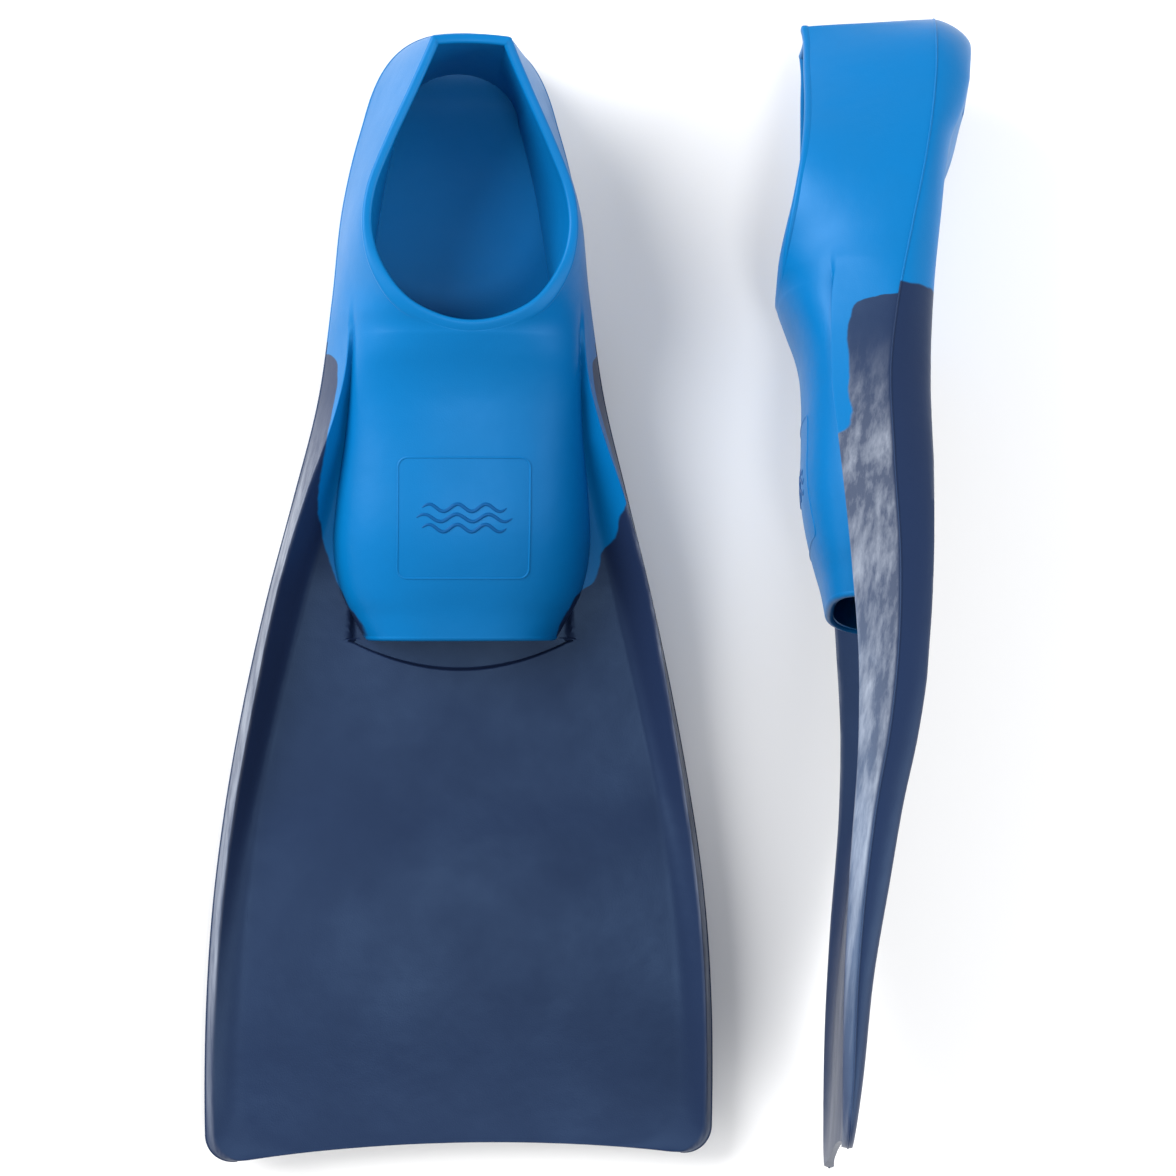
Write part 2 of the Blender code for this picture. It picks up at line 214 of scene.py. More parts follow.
def makePiece(name, points, faces, material, colouring, sharpAngle=38):
    # merges the seams of a shape in the fin's frame, fills its flat open end, notes where each
    # point lies on the fin, and sets it in the scene
    finName = name[:5]
    mesh = bpy.data.meshes.new(name)
    mesh.from_pydata(points.tolist(), [], faces.tolist())
    work = bmesh.new()
    work.from_mesh(mesh)
    bmesh.ops.remove_doubles(work, verts=work.verts, dist=0.002)
    bmesh.ops.holes_fill(work, edges=[e for e in work.edges if e.is_boundary], sides=0)
    bmesh.ops.recalc_face_normals(work, faces=work.faces)
    work.to_mesh(mesh)
    work.free()
    mesh.validate()
    place = np.zeros(len(mesh.vertices) * 3, np.float32)
    mesh.vertices.foreach_get("co", place)
    place = place.reshape(-1, 3).astype(float)
    mesh.attributes.new("finPlace", "FLOAT_VECTOR", "POINT").data.foreach_set(
        "vector", place.astype(np.float32).ravel())
    for label, value in colouring(place).items():
        mesh.attributes.new(label, "FLOAT", "POINT").data.foreach_set(
            "value", value.astype(np.float32))
    turned, origin = finMatrix(finName)
    world = place @ turned.T + origin
    mesh.vertices.foreach_set("co", world.astype(np.float32).ravel())
    mesh.flip_normals()  # the fin's frame runs the other way round, as t is -y
    mesh.shade_smooth()
    mesh.set_sharp_from_angle(angle=np.radians(sharpAngle))
    mesh.update()
    mesh.materials.append(material)
    piece = bpy.data.objects.new(name, mesh)
    bpy.context.scene.collection.objects.link(piece)
    print("made", name, len(mesh.polygons), "faces")
    return piece


# foot pocket
pocket = {
    "rimBack": 12.8,
    "rimCorner": 0.42,  # share of the heel fan that is the straight bar across the back
    "rimFront": 133.0,
    "rimWall": 3.0,
    "heelPower": 1.8,
    "archFrom": 84.0,
    "archWhole": 116.0,
    "railFrom": 114.0,
    "railWhole": 146.0,
    "heldFrom": 130.0,  # behind this the rows keep the spacing they have here
    "crestRound": 1.3,
    "valleyRound": 4.0,
    "vampWall": 3.5,
    "leastRise": 4.5,  # the rail's inner face is at least this wide
    "barBow": 1.2,
    "barSag": 1.3,
    "heelTaper": 0.27,  # the heel's side draws in by this, less heelRound, per mm towards the back
    "heelRound": 0.0052,
    "liningBack": 22.0,  # from heelCentre back to the corner of the pocket's floor
}
# the opening's half width, against the root of the way to its front
rimX = profile((0, 0), (1.58, 14.5), (3.08, 28), (4.58, 37.5), (5.83, 42.7), (6.93, 44),
               (7.75, 42), (8.77, 35.5), (10.05, 24.5), (10.96, 16))
rimZ = profile((12.8, 70.5), (20, 69), (31, 68), (58, 65.6), (80, 65.4), (98, 67), (111, 69),
               (122.5, 70.4), (133, 70.6))
sidePower = profile((38, 1.8), (65, 1.7), (90, 1.35), (124, 1.0))
vampTop = profile((133, 70.6), (140, 67), (148, 63), (157, 59.8), (170, 57.4), (190, 55.7),
                  (214, 53.4), (236, 47.2), (250, 42), (259, 39.5))
valleyHalf = profile((133, 47), (150, 48), (175, 50), (205, 53.5), (220, 54.3), (232, 53),
                     (240, 50.8), (250, 46), (259, 40.8))
valleyZ = profile((121, 50), (147, 44), (170, 37), (200, 28), (230, 20), (262, 16.1))
vampFull = profile((118, 2.3), (200, 2.4), (240, 2.7), (259, 3.0))
plateBottom = profile((123, 8.1), (155, 7.6), (180, 6.4), (202, 6), (225, 8), (250, 10.2),
                      (259, 10.4))
bevelInset = profile((0, 10), (150, 10), (230, 5.5), (300, 5), (480, 4))
floorHalf = profile((24, 19.5), (40, 25.5), (60, 30.5), (106, 38), (130, 41), (150, 43), (200, 47),
                    (222, 48.5), (240, 44.5), (250, 40), (259, 36))
floorZ = profile((8, 10.5), (16, 7), (30, 6.5), (60, 9), (100, 11.5), (150, 12.5), (259, 13.2))
liningPower = profile((40, 1.9), (90, 1.7), (124, 1.2), (150, 0.9), (259, 0.72))


def rimHalf(t):
    return rimX(np.sqrt(np.maximum(pocket["rimFront"] - t, 0)))


def crown(t):
    # the edge of the opening, or the middle of the vamp in front of it
    isOpen = t < pocket["rimFront"]
    return np.where(isOpen, rimHalf(t), 0), np.where(isOpen, rimZ(t), vampTop(t))


def railLines(x, t, base, foot):
    # the rail beside a floor at height base: a sloping inner face from its foot, a rounded crest,
    # and an outer face that leans in from the parting ridge
    wide, ridge, top, lean = halfWidth(t), ridgeZ(t), railTop(t), railLean(t)
    crestX = wide - lean
    foot = np.minimum(np.maximum(foot, wide - railWidth(t)), crestX - pocket["leastRise"])
    inner = base + (top - base) * (x - foot) / (crestX - foot)
    outer = ridge + (top - ridge) * (np.maximum(wide - x, 0) / lean) ** 0.8
    return inner, outer, foot, crestX


def valleyBase(t):
    # the floor beside the vamp, which runs out level with the top of the blade's web
    webTop = ridgeZ(t) + webThickness(t) / 2
    return valleyZ(t) + (webTop - valleyZ(t)) * ease(240, fin["toeEdge"], t)


def recessDepth(x):
    return blade["recess"] * ease(blade["recessOuter"], blade["recessInner"], x)


def toeRecess(x, t):
    # the blade's crescent recess runs back past the corners of the toe until it meets the vamp
    return recessDepth(x) * ease(242, 250, t)


def dorsalHeight(x, t):
    # behind railFrom one wall from the ridge to the rim, which turns into an arch that the
    # opening cuts. In front of it a narrower arch, the vamp, stands between the two rails.
    x, t = np.broadcast_arrays(x, t)
    crownX, crownZ = crown(t)
    wide, ridge = halfWidth(t), ridgeZ(t)
    fromRim = archRise((x - crownX) / (wide - crownX), sidePower(t))
    whole = archRise(x / wide, sidePower(t)) / archRise(crownX / wide, sidePower(t))
    rise = fromRim + (whole - fromRim) * ease(pocket["archFrom"], pocket["archWhole"], t)
    plain = ridge + (crownZ - ridge) * rise
    base, foot = valleyBase(t) - toeRecess(x, t), valleyHalf(t)
    full = 2 / vampFull(t)
    crownFoot = np.minimum(crownX / foot, 0.95)
    vamp = base + (crownZ - base) * archRise(x / foot, full) / archRise(crownFoot, full)
    inner, outer, _, _ = railLines(x, t, base, foot)
    railed = softMin(outer, softMax(vamp, inner, pocket["valleyRound"]), pocket["crestRound"])
    return plain + (railed - plain) * ease(pocket["railFrom"], pocket["railWhole"], t)


def underHeight(x, t, plate, wide):
    # from the parting ridge down a rounded bevel to the keel, then up to the plate between the rails
    keel, ridge, inset = keelZ(t), ridgeZ(t), bevelInset(t)
    r = np.clip((x - wide + inset) / inset, 0, 1)
    bevel = keel + (ridge - keel) * (1 - (1 - r**1.6) ** (1 / 1.6))
    railFoot = wide - railWidth(t)
    onRail = ease(-2, 1.5, x - railFoot)
    return plate + (bevel - plate) * onRail


def underRows(rows, wide, t):
    # places across the underside. Two of the rows follow the foot of the rail.
    foot = wide - railWidth(t)
    lines = np.concatenate([wide * 0, foot - 2, foot + 1.5, wide], 1)
    return np.stack([np.interp(rows, range(4), line) for line in lines])


def stationsOf(start, middle, end, byRim, spacing):
    # places along the fin: even steps of the rim's own half width, then even steps of t
    s = np.linspace(np.sqrt(middle - start), 0, byRim)
    after = np.linspace(middle, end, int((end - middle) / spacing) + 1)[1:]
    return np.concatenate([middle - s**2, after])


def resample(r, span, z, marks, rows):
    # reads every station again at shares of its own length. marks are the shares of the lines that
    # the rows follow.
    step = np.hypot(np.diff(r, axis=1) * span, np.diff(z, axis=1))
    length = np.concatenate([np.zeros((len(r), 1)), np.cumsum(step, 1)], 1)
    length /= length[:, -1:]
    whole = np.arange(marks.shape[1])
    at = np.stack([np.interp(rows, whole, m) for m in marks])
    newR = np.stack([np.interp(a, n, v) for a, n, v in zip(at, length, r)])
    newZ = np.stack([np.interp(a, n, v) for a, n, v in zip(at, length, z)])
    return newR, newZ


def lengthShares(r, span, z, lines):
    step = np.hypot(np.diff(r, axis=1) * span, np.diff(z, axis=1))
    length = np.concatenate([np.zeros((len(r), 1)), np.cumsum(step, 1)], 1)
    length /= length[:, -1:]
    return np.stack([np.interp(m, v, n) for m, v, n in zip(lines, r, length)])


def heelFan(count):
    # stations round the back of the heel, by angle: the ridge below and the rim above. The bar
    # across the back bows back between its corners.
    turn = np.linspace(0, np.pi / 2, count, endpoint=False)
    q = turn / (np.pi / 2)
    deep = fin["heelCentre"] - fin["heelBack"]
    back = np.cos(turn) ** (2 / fin["heelSquare"]) * deep
    side = flare(fin["heelCentre"]) - pocket["heelTaper"] * back + pocket["heelRound"] * back**2
    ridge = np.stack([side * np.sin(turn) ** (2 / fin["heelSquare"]),
                      fin["heelCentre"] - back], 1)
    bar = q < pocket["rimCorner"]
    rimT = np.where(bar, pocket["rimBack"],
                    pocket["rimBack"] + (fin["heelCentre"] - pocket["rimBack"])
                    * (q - pocket["rimCorner"]) / (1 - pocket["rimCorner"]))
    along = np.minimum(q / pocket["rimCorner"], 1)
    rimAcross = np.where(bar, rimHalf(pocket["rimBack"]) * along, rimHalf(rimT))
    barZ = rimZ(pocket["rimBack"]) - pocket["barSag"] * (1 - along**2)
    rimHigh = np.where(bar, barZ, rimZ(rimT))
    rimT = rimT - np.where(bar, pocket["barBow"] * (1 - along**2), 0)
    return turn, ridge, np.stack([rimAcross, rimT, rimHigh], 1)


fanCount = 40
fanTurn, fanRidge, fanRim = heelFan(fanCount)
pocketT = stationsOf(fin["heelCentre"], pocket["rimFront"], fin["toeEdge"], 64, 1.5)
openCount = fanCount + int(np.sum(pocketT <= pocket["rimFront"] + 1e-6))
crownX, crownZ = crown(pocketT)
crownLine = np.concatenate([fanRim, np.stack([crownX, pocketT, crownZ], 1)])
ridgeLine = np.concatenate([
    np.concatenate([fanRidge, ridgeZ(fanRidge[:, 1])[:, None]], 1),
    np.stack([halfWidth(pocketT), pocketT, ridgeZ(pocketT)], 1)])


rowsOut = evenRows(36, 20, 14, 24)  # crown, vamp foot, rail foot, rail crest, ridge
rowsUnder = evenRows(16, 8, 14)  # middle, both sides of the rail foot, ridge


def cosineSteps(count):
    # steps from 0 to 1, finer at both ends
    return (1 - np.cos(np.linspace(0, np.pi, count))) / 2


def outerSkin():
    # read closely where the surface turns: at the foot of the vamp, and at the rail's foot and crest
    t = pocketT[:, None]
    wide = halfWidth(t)
    span = np.hypot(*(ridgeLine - crownLine)[:, :2].T)[:, None]
    reach = wide - crownX[:, None]
    foot = valleyHalf(t)
    crestX = wide - railLean(t)
    innerFoot = np.minimum(np.maximum(foot, wide - railWidth(t)), crestX - pocket["leastRise"])
    near = np.linspace(0, 1, 100)
    x = np.concatenate([
        crownX[:, None] + reach * cosineSteps(900)[::2],
        foot - 12 * near**3,
        crestX + 2.5 * (near * 2 - 1),
        wide - railLean(t) * near**2,
        foot + (innerFoot - foot) * near], 1)
    x = np.sort(np.clip(x, crownX[:, None], wide), 1)
    rPocket = (x - crownX[:, None]) / reach
    rFan = np.tile(cosineSteps(x.shape[1]), (fanCount, 1))
    fanFoot, fanTop = ridgeLine[:fanCount, 2:], crownLine[:fanCount, 2:]
    zFan = fanFoot + (fanTop - fanFoot) * archRise(rFan, pocket["heelPower"])
    r = np.concatenate([rFan, rPocket])
    z = np.concatenate([zFan, dorsalHeight(x, t)])
    lineX = np.concatenate([np.minimum(foot, crestX - 3), innerFoot, crestX], 1)
    lineX[:, 1] = np.clip(lineX[:, 1], lineX[:, 0] + 0.5, lineX[:, 2] - 1.5)
    shares = lengthShares(rPocket, reach, z[fanCount:], (lineX - crownX[:, None]) / reach)
    held = np.argmax(pocketT > pocket["heldFrom"])
    shares[:held] = shares[held]
    shares = np.concatenate([np.repeat(shares[:1], fanCount, 0), shares])
    marks = np.concatenate([np.zeros((len(r), 1)), shares, np.ones((len(r), 1))], 1)
    newR, newZ = resample(r, span, z, marks, rowsOut)
    flat = crownLine[:, None, :2] + newR[..., None] * (ridgeLine - crownLine)[:, None, :2]
    return np.concatenate([flat, newZ[..., None]], 2)


def rimOutward(line):
    # level direction away from the opening, at each point of the edge
    way = np.gradient(line[:, :2], axis=0)
    way /= np.linalg.norm(way, axis=1)[:, None]
    side = np.stack([way[:, 1], -way[:, 0]], 1)
    side[0] = (0, -1)
    side[-1] = (0, 1)
    return side


def liningLines():
    # the lining's upper edge and the corner where it meets the floor
    openEdge = crownLine[:openCount].copy()
    openEdge[:, :2] -= pocket["rimWall"] * rimOutward(crownLine[:openCount])
    openEdge[:, 0] = np.maximum(openEdge[:, 0], 0)
    t = crownLine[openCount:, 1]
    fade = np.exp(-(t - pocket["rimFront"]) / 4)
    closed = np.stack([t * 0, t - pocket["rimWall"] * fade,
                       crownLine[openCount:, 2] - pocket["vampWall"] * (1 - fade)], 1)
    upper = np.concatenate([openEdge, closed])
    corner = np.empty_like(upper)
    side = floorHalf(fin["heelCentre"])
    corner[:fanCount, 0] = side * np.sin(fanTurn)
    corner[:fanCount, 1] = fin["heelCentre"] - pocket["liningBack"] * np.cos(fanTurn)
    corner[fanCount:, 0] = floorHalf(pocketT)
    corner[fanCount:, 1] = pocketT
    corner[:, 2] = floorZ(corner[:, 1])
    return upper, corner


def liningSkin(upper, corner):
    r = np.tile((1 - np.cos(np.linspace(0, np.pi, 500))) / 2, (len(upper), 1))
    power = liningPower(corner[:, 1:2])
    z = corner[:, 2:] + (upper - corner)[:, 2:] * archRise(r, power)
    span = np.hypot(*(upper - corner)[:, :2].T)[:, None]
    marks = np.tile(np.arange(5) / 4.0, (len(upper), 1))
    newR, newZ = resample(r, span, z, marks, rowsOut)
    flat = upper[:, None, :2] + newR[..., None] * (corner - upper)[:, None, :2]
    return np.concatenate([flat, newZ[..., None]], 2)


def underSkin():
    # the outsole from the middle out to the parting ridge, fanned round the heel
    middle = np.stack([pocketT * 0, pocketT], 1)
    pole = np.tile((0, fin["heelCentre"]), (fanCount, 1))
    middle = np.concatenate([pole, middle])
    t = ridgeLine[:, 1:2]
    wide = np.hypot(*(ridgeLine[:, :2] - middle).T)[:, None]
    r = underRows(rowsUnder, wide, t) / wide
    flat = middle[:, None] + r[..., None] * (ridgeLine[:, None, :2] - middle[:, None])
    plate = np.where(t > 123, plateBottom(t), keelZ(t))
    z = underHeight(r * wide, t, np.where(t < fin["heelCentre"], keelZ(t), plate), wide)
    return np.concatenate([flat, z[..., None]], 2)


def floorSkin(corner):
    r = np.interp(rowsUnder, range(4), (0, 0.72, 0.8, 1))
    r = np.tile(r, (len(corner), 1))
    middle = np.concatenate([np.tile((0, fin["heelCentre"]), (fanCount, 1)),
                             np.stack([pocketT * 0, pocketT], 1)])
    flat = middle[:, None] + r[..., None] * (corner[:, None, :2] - middle[:, None])
    z = floorZ(flat[..., 1])
    return np.concatenate([flat, z[..., None]], 2)


# blade
blade = {
    "crescentTip": 272.6,
    "crescentDeep": 12.4,
    "crescentHalf": 47.0,
    "recess": 2.6,
    "recessInner": 45.5,  # the recess is whole inside this and gone outside recessOuter
    "recessOuter": 47.5,
    "flatFrom": 68.0,  # the stations stop bowing here
}


def bladeStations():
    corner = fin["length"] - fin["tipCorner"]
    edge = blade["crescentTip"]
    behind = np.linspace(fin["toeEdge"], edge - 1, 15, endpoint=False)
    step = np.linspace(edge - 1, edge + 1, 9)
    ahead = np.linspace(edge + 1, 300, 24)[1:]
    even = np.linspace(300, corner, 92)[1:-1]
    tip = corner + fin["tipCorner"] * np.sin(np.linspace(0, np.pi / 2, 14))
    return np.concatenate([behind, step, ahead, even, tip])


def bladeSkins():
    t = bladeStations()[:, None]
    wide = halfWidth(t)
    webTop = ridgeZ(t) + webThickness(t) / 2
    webBottom = ridgeZ(t) - webThickness(t) / 2
    _, _, foot, crestX = railLines(wide, t, webTop, wide - railWidth(t))
    rows = evenRows(44, 14, 24)
    lines = np.concatenate([wide * 0, foot, crestX, wide], 1)
    x = np.stack([np.interp(rows, range(4), line) for line in lines])
    q = np.clip(rows - 2, 0, 1)
    x = np.where(rows > 2, wide - (wide - crestX) * (1 - q) ** 1.6, x)
    inner, outer, _, _ = railLines(x, t, webTop, wide - railWidth(t))
    recess = recessDepth(x) * ease(0.7, -0.7, t - blade["crescentTip"])
    # the stations bow back at the sides, so that one of them runs along the crescent
    bow = blade["crescentDeep"] * np.minimum(x / blade["crescentHalf"], 1) ** 2
    bow = bow * ease(blade["flatFrom"], blade["crescentHalf"], x)
    bow = bow * np.clip((t - fin["toeEdge"]) / (blade["crescentTip"] - fin["toeEdge"]), 0, 1)
    bow = bow * ease(300, blade["crescentTip"], t)
    floorTop = ridgeZ(t - bow) + webThickness(t - bow) / 2
    z = softMin(outer, softMax(floorTop - recess, inner, pocket["valleyRound"]),
                pocket["crestRound"])
    top = np.stack([x, t - bow, z], 2)
    xUnder = underRows(rows, wide, t)
    under = np.stack([xUnder, t + xUnder * 0, underHeight(xUnder, t, webBottom, wide)], 2)
    under[:, -1, 2] = top[:, -1, 2]
    for grid in (top, under):
        share = grid[..., 0] / halfWidth(fin["length"])
        grid[..., 1] -= fin["tipDish"] * (1 - share**2) * ease(400, 480, grid[..., 1])
    return top, under


# colour of the two compounds
boundaryLeft = profile((139, 57.5), (142, 54.5), (150, 53.5), (165, 55.8), (179, 58.5), (198, 61),
                       (212, 59.8), (222, 57.7), (238, 51.7), (245, 48.3), (251, 44), (258, 40.7))
boundaryRight = profile((139, 57.5), (142, 54.5), (150, 54), (165, 57), (180, 61.5), (195, 66.5),
                        (201, 67.8), (209, 65.7), (219, 62.8), (222, 60.2), (231, 58.5), (236, 56),
                        (240, 49.6), (247, 44.5), (254, 39.9))


def railFace(place):
    # 1 on the rails' outer faces and crests, where a grey reflection of the floor is painted into
    # the colour
    x, t = np.abs(place[:, 0]), place[:, 1]
    crestX = halfWidth(t) - railLean(t)
    above = ease(0.2, 1.6, place[:, 2] - ridgeZ(t))
    return ease(-1.5, 0.5, x - crestX) * ease(150, 215, t) * above * (1 - 0.6 * ease(395, 440, t))


def upperColour(place):
    x, t = place[:, 0], place[:, 1]
    edge = np.where(x < 0, boundaryLeft(t), boundaryRight(t))
    steep = 1 + 2.5 * ease(-1.5, 1, np.abs(x) - halfWidth(t) + railLean(t))
    bleed = np.minimum((np.abs(x) - edge) * steep, t - 138.5)
    return {"bleed": bleed, "railFace": railFace(place)}


def outsoleColour(place):
    return {"bleed": place[:, 1] - 134, "railFace": railFace(place)}


def navyColour(place):
    return {"bleed": np.full(len(place), 50.0), "railFace": railFace(place)}


def blueColour(place):
    return {"bleed": np.full(len(place), -50.0), "railFace": np.zeros(len(place))}


# materials
def linear(hexColour):
    value = np.array([int(hexColour[i:i + 2], 16) for i in (1, 3, 5)]) / 255
    value = np.where(value <= 0.04045, value / 12.92, ((value + 0.055) / 1.055) ** 2.4)
    return (*value, 1)


def addNode(tree, kind, settings, inputs):
    node = tree.nodes.new("ShaderNode" + kind)
    for name, value in settings.items():
        setattr(node, name, value)
    for name, value in inputs.items():
        if isinstance(value, bpy.types.NodeSocket):
            tree.links.new(value, node.inputs[name])
        else:
            node.inputs[name].default_value = value
    return node


rubber = {
    "blue": "#0067A6",
    "blueDeep": "#006099",
    "mark": "#004A82",
    "navy": "#1D2B49",
    "navyDeep": "#16213C",
    # the grey of the floor reflected in the rails' outer faces, painted into the colour
    "floorReflection": "#A9B0BC",
    "grain": 0.6,  # mm, a fine mould texture drawn as coarse as it needs to show
}


def mouldedRubber(name, blueHex, blueDeepHex):
    # natural rubber moulded from two compounds that meet in the mould: a satin skin with a soft wide
    # highlight, cloudy patches, a painted grey reflection of the floor streaked along the rails, and
    # a wavy colour edge
    material = bpy.data.materials.new(name)
    material.use_nodes = True
    tree = material.node_tree
    shader = tree.nodes["Principled BSDF"]
    place = addNode(tree, "Attribute", {"attribute_name": "finPlace"}, {}).outputs["Vector"]
    bleed = addNode(tree, "Attribute", {"attribute_name": "bleed"}, {}).outputs["Fac"]
    rail = addNode(tree, "Attribute", {"attribute_name": "railFace"}, {}).outputs["Fac"]
    wander = addNode(tree, "TexNoise", {}, {"Vector": place, "Scale": 0.09, "Detail": 3.0})
    wander = addNode(tree, "MapRange", {}, {"Value": wander.outputs["Fac"], "From Min": 0.3,
                                           "From Max": 0.7, "To Min": -0.7, "To Max": 0.7})
    meeting = addNode(tree, "Math", {"operation": "ADD"}, {0: bleed, 1: wander.outputs[0]})
    isNavy = addNode(tree, "MapRange", {"interpolation_type": "SMOOTHSTEP"},
                     {"Value": meeting.outputs[0], "From Min": -0.6, "From Max": 0.6}).outputs[0]
    cloud = addNode(tree, "TexNoise", {}, {"Vector": place, "Scale": 0.02, "Detail": 6.0,
                                          "Roughness": 0.6}).outputs["Fac"]
    blue = addNode(tree, "Mix", {"data_type": "RGBA"}, {0: cloud, 6: linear(blueHex),
                                                       7: linear(blueDeepHex)})
    navy = addNode(tree, "Mix", {"data_type": "RGBA"}, {0: cloud, 6: linear(rubber["navy"]),
                                                       7: linear(rubber["navyDeep"])})
    # painted reflection: grey streaks of the floor's reflection laid over the navy on the rails'
    # outer faces
    stretch = addNode(tree, "Mapping", {"vector_type": "POINT"},
                      {"Vector": place, "Scale": (0.2, 0.012, 0.16)})
    streak = addNode(tree, "TexNoise", {}, {"Vector": stretch.outputs[0], "Scale": 1.0,
                                           "Detail": 5.0, "Roughness": 0.65}).outputs["Fac"]
    reflectionShare = addNode(tree, "MapRange", {}, {"Value": streak, "From Min": 0.42, "From Max": 0.72,
                                         "To Min": 0.12, "To Max": 0.6})
    reflectionShare = addNode(tree, "Math", {"operation": "MULTIPLY"}, {0: reflectionShare.outputs[0], 1: rail})
    reflectedNavy = addNode(tree, "Mix", {"data_type": "RGBA"}, {0: reflectionShare.outputs[0],
                                                          6: navy.outputs[2],
                                                          7: linear(rubber["floorReflection"])})
    colour = addNode(tree, "Mix", {"data_type": "RGBA"}, {0: isNavy, 6: blue.outputs[2],
                                                         7: reflectedNavy.outputs[2]})
    tree.links.new(colour.outputs[2], shader.inputs["Base Color"])
    gloss = addNode(tree, "MapRange", {}, {"Value": cloud, "From Min": 0.3, "From Max": 0.7,
                                          "To Min": 0.36, "To Max": 0.48})
    tree.links.new(gloss.outputs[0], shader.inputs["Roughness"])
    shader.inputs["IOR"].default_value = 1.5
    shader.inputs["Specular IOR Level"].default_value = 0.32
    shader.inputs["Specular Tint"].default_value = linear("#A6D0FF")  # cool highlights
    grain = addNode(tree, "TexNoise", {}, {"Vector": place, "Scale": 1 / rubber["grain"],
                                          "Detail": 2.0}).outputs["Fac"]
    grain = addNode(tree, "Bump", {}, {"Height": grain, "Strength": 0.12, "Distance": 0.0004})
    swell = addNode(tree, "TexNoise", {}, {"Vector": place, "Scale": 0.06, "Detail": 2.0})
    swell = addNode(tree, "Bump", {}, {"Height": swell.outputs["Fac"], "Strength": 0.25,
                                      "Distance": 0.0012, "Normal": grain.outputs[0]})
    tree.links.new(swell.outputs[0], shader.inputs["Normal"])
    return material


def paperFloor():
    # matt white studio paper
    material = bpy.data.materials.new("studio paper")
    material.use_nodes = True
    tree = material.node_tree
    shader = tree.nodes["Principled BSDF"]
    place = addNode(tree, "TexCoord", {}, {}).outputs["Object"]
    tone = addNode(tree, "TexNoise", {}, {"Vector": place, "Scale": 3.0}).outputs["Fac"]
    colour = addNode(tree, "Mix", {"data_type": "RGBA"}, {0: tone, 6: linear("#F4F4F4"),
                                                         7: linear("#F7F7F7")})
    tree.links.new(colour.outputs[2], shader.inputs["Base Color"])
    shader.inputs["Roughness"].default_value = 0.95
    return material


rubberSkin = mouldedRubber("moulded natural rubber", rubber["blue"], rubber["blueDeep"])
markRubber = mouldedRubber("darker rubber of the mark", rubber["mark"], rubber["mark"])
print("materials made")


# small parts on the pocket
toplineBead = {"sideHalf": 2.1, "frontHalf": 3.5, "halfHigh": 1.9, "frontTilt": 27.0, "sides": 28}
toeLip = {"radius": 1.9, "sides": 20}
partingLine = {"halfWide": 0.5, "halfHigh": 0.42, "sides": 10}
vampPanel = {"left": -29.0, "right": 26.0, "back": 184.0, "front": 234.0, "corner": 4.0,
             "halfWide": 0.45}
waveMark = {"length": 40.0, "waves": 3, "height": 1.5, "spacing": 4.2, "halfWide": 0.75}


def toplineShape():
    edge = crownLine[:openCount].copy()
    outward = rimOutward(edge)
    edge[:, :2] -= 0.5 * pocket["rimWall"] * outward
    front = ease(85, 130, edge[:, 1])
    edge[:, 2] -= 0.4 + 0.5 * front
    edge[0, 0] = edge[-1, 0] = 0
    tilt = np.radians(toplineBead["frontTilt"]) * front[:, None]
    level = np.concatenate([outward, outward[:, :1] * 0], 1)
    upright = np.tile((0.0, 0, 1), (len(edge), 1))
    across = level * np.cos(tilt) - upright * np.sin(tilt)
    up = level * np.sin(tilt) + upright * np.cos(tilt)
    mirror = np.array((-1, 1, 1))
    path, across, up = (np.concatenate([v, (v * mirror)[-2:0:-1]]) for v in (edge, across, up))
    front = np.concatenate([front, front[-2:0:-1]])
    bead = toplineBead
    wide = bead["sideHalf"] + (bead["frontHalf"] - bead["sideHalf"]) * front
    return tube(path, across, up, wide, bead["halfHigh"] - 0.5 * front, bead["sides"], loop=True,
                square=0.7)


def toeLipShape():
    half = np.linspace(0, 1, 60)
    foot = valleyHalf(fin["toeEdge"])
    x = foot * np.sin(half * np.pi / 2 * 0.97)
    z = dorsalHeight(x, fin["toeEdge"]) - 0.5 * pocket["vampWall"]
    path = np.stack([x - 0.5 * pocket["vampWall"] * half**3, x * 0 + fin["toeEdge"] - 0.6, z], 1)
    path = np.concatenate([(path * (-1, 1, 1))[:0:-1], path])
    across = np.tile((0.0, 1, 0), (len(path), 1))
    up = np.cross(across, tangents(path))
    end = np.abs(np.linspace(-1, 1, len(path)))
    size = toeLip["radius"] * np.sqrt(np.clip(1 - ease(0.97, 1.0, end) ** 2, 0.02, 1))
    return tube(path, across, up, size, size, toeLip["sides"])


def partingShape(path):
    # the thin line of flash where the two halves of the mould met, on both sides of the fin
    ahead = tangents(path)
    up = np.tile((0.0, 0, 1), (len(path), 1))
    across = np.cross(ahead, up)
    across /= np.linalg.norm(across, axis=1)[:, None]
    one = tube(path - across * 0.1, across, np.cross(across, ahead), partingLine["halfWide"],
               partingLine["halfHigh"], partingLine["sides"])
    return joinShapes(one, (one[0] * (-1, 1, 1), one[1][:, ::-1]))


def onVamp(x, t):
    return np.stack([x, t, dorsalHeight(np.abs(x), t)], 1)


def surfaceFrame(path, loop=False):
    # across and up directions of a line that lies on the vamp
    way = tangents(path, loop)
    x, t = path[:, 0], path[:, 1]
    slopeX = onVamp(x + 0.5, t) - onVamp(x - 0.5, t)
    slopeT = onVamp(x, t + 0.5) - onVamp(x, t - 0.5)
    up = np.cross(slopeX, slopeT)
    up /= np.linalg.norm(up, axis=1)[:, None]
    return np.cross(way, up), up


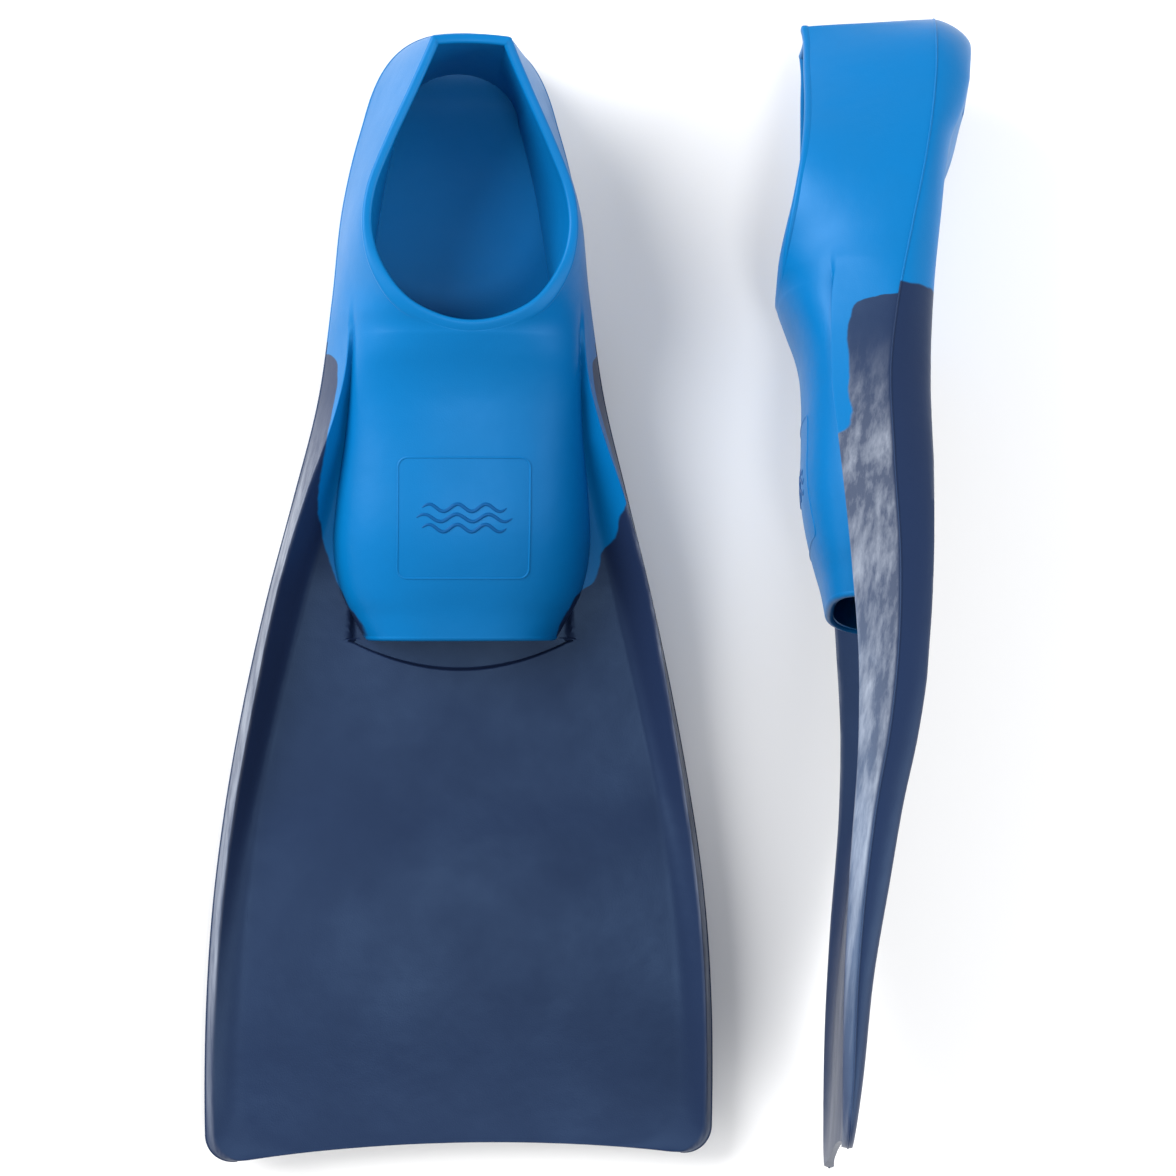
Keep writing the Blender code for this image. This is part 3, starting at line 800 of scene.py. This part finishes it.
def panelShape():
    # a thin raised line round a rectangle with rounded corners
    p = vampPanel
    quarter = np.linspace(0, np.pi / 2, 9)
    corners = [(p["right"], p["front"], 0), (p["left"], p["front"], 1),
               (p["left"], p["back"], 2), (p["right"], p["back"], 3)]
    points = []
    for x, t, turn in corners:
        angle = quarter + turn * np.pi / 2
        inX = x - np.sign(x) * p["corner"]
        inT = t + (p["corner"] if t == p["back"] else -p["corner"])
        points.append(np.stack([inX + p["corner"] * np.cos(angle),
                                inT + p["corner"] * np.sin(angle)], 1))
    points = np.concatenate(points)
    points = np.concatenate([points, points[:1]])
    step = np.hypot(*np.diff(points, axis=0).T)
    length = np.append(0, np.cumsum(step))
    even = np.linspace(0, length[-1], 300, endpoint=False)
    path = onVamp(np.interp(even, length, points[:, 0]), np.interp(even, length, points[:, 1]))
    across, up = surfaceFrame(path, loop=True)
    return tube(path, across, up, p["halfWide"], 0.32, 10, loop=True)


def waveShape():
    w = waveMark
    s = np.linspace(-0.5, 0.5, 120)
    shapes = []
    for i in (-1, 0, 1):
        x = w["length"] * s * (1 - 0.12 * abs(i)) - 1.5
        t = 0.5 * (vampPanel["back"] + vampPanel["front"]) + i * w["spacing"]
        t = t + w["height"] * np.sin(s * 2 * np.pi * w["waves"])
        path = onVamp(x, t)
        across, up = surfaceFrame(path)
        taper = np.sqrt(np.clip(1 - (2 * np.abs(s)) ** 6, 0.01, 1))
        shapes.append(tube(path, across, up, w["halfWide"] * taper, 0.4 * taper, 12))
    return joinShapes(*shapes)


# build both fins
outer = outerSkin()
liningTop, liningFoot = liningLines()
lining = liningSkin(liningTop, liningFoot)
bladeTop, bladeUnder = bladeSkins()
shapes = {
    "upper": closeGrids(outer, lining, openRows=openCount),
    "outsole": closeGrids(underSkin(), floorSkin(liningFoot)),
    "blade": closeGrids(bladeTop, bladeUnder, caps=True),
    "topline": toplineShape(),
    "toe_lip": toeLipShape(),
    "pocket_parting": partingShape(ridgeLine),
    "blade_parting": partingShape(bladeTop[:, -1]),
    "vamp_panel": panelShape(),
    "vamp_waves": waveShape(),
}
stands = {
    "upper": ("heel_counter", "left_quarter", "right_quarter", "vamp", "left_rail_root",
              "right_rail_root"),
    "outsole": ("sole", "forefoot_plate"),
    "blade": ("blade_web", "left_rail", "right_rail"),
    "topline": ("topline_bead",),
    "toe_lip": ("toe_bead",),
    "pocket_parting": (),
    "blade_parting": (),
    "vamp_panel": (),
    "vamp_waves": (),
}
colours = {"upper": upperColour, "outsole": outsoleColour, "blade": navyColour,
           "pocket_parting": outsoleColour, "blade_parting": navyColour}

for finName in fins:
    for part, (points, faces) in shapes.items():
        material = markRubber if part == "vamp_waves" else rubberSkin
        piece = makePiece(finName + "_" + part + "_skin", points, faces, material,
                          colours.get(part, blueColour))
        if part.startswith("blade"):
            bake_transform(piece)
        else:
            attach(piece, finName + "_pocket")
        if stands[part]:
            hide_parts(*(finName + "_" + node for node in stands[part]))
print("both fins built")


# studio
studio = {
    "floorHalf": 4.0,
    "cameraAt": (-0.1645, 0.002, 1.40),
    "aim": (-0.001, 0.002, 0.02),
    "lens": 99.8,
}
floorMesh = bpy.data.meshes.new("studio_floor")
half = studio["floorHalf"]
floorMesh.from_pydata([(-half, -half, 0), (half, -half, 0), (half, half, 0), (-half, half, 0)], [],
                      [(0, 1, 2, 3)])
floorMesh.materials.append(paperFloor())
floor = bpy.data.objects.new("studio_floor", floorMesh)
bpy.context.scene.collection.objects.link(floor)

world = bpy.data.worlds.new("studio")
world.use_nodes = True
world.node_tree.nodes["Background"].inputs["Color"].default_value = linear("#FFFFFF")
world.node_tree.nodes["Background"].inputs["Strength"].default_value = 0.5
bpy.context.scene.world = world
bpy.context.scene.view_settings.view_transform = "Standard"


def softLight(name, at, aim, size, power):
    # a round softbox, size in metres and power in watts
    light = bpy.data.lights.new(name, "AREA")
    light.shape = "DISK"
    light.size = size
    light.energy = power
    lamp = bpy.data.objects.new(name, light)
    lamp.location = at
    lamp.rotation_euler = (Vector(aim) - Vector(at)).to_track_quat("-Z", "Y").to_euler()
    bpy.context.scene.collection.objects.link(lamp)


softLight("left_softbox", (-1.6, 0.8, 1.15), (0, 0, 0), 1.6, 66)
softLight("right_softbox", (1.7, -0.2, 1.2), (0, 0, 0), 1.8, 34)
softLight("overhead_softbox", (0.12, -0.25, 2.0), (0, 0, 0), 0.4, 9)

camera = bpy.data.cameras.new("camera")
camera.lens = studio["lens"]
camera.sensor_width = 36.0
cameraObject = bpy.data.objects.new("camera", camera)
cameraObject.location = studio["cameraAt"]
away = Vector(studio["cameraAt"]) - Vector(studio["aim"])
cameraObject.rotation_euler = (0, np.arctan2(away.x, away.z), 0)  # looks down, +Y stays up
bpy.context.scene.collection.objects.link(cameraObject)
bpy.context.scene.camera = cameraObject
print("studio set")
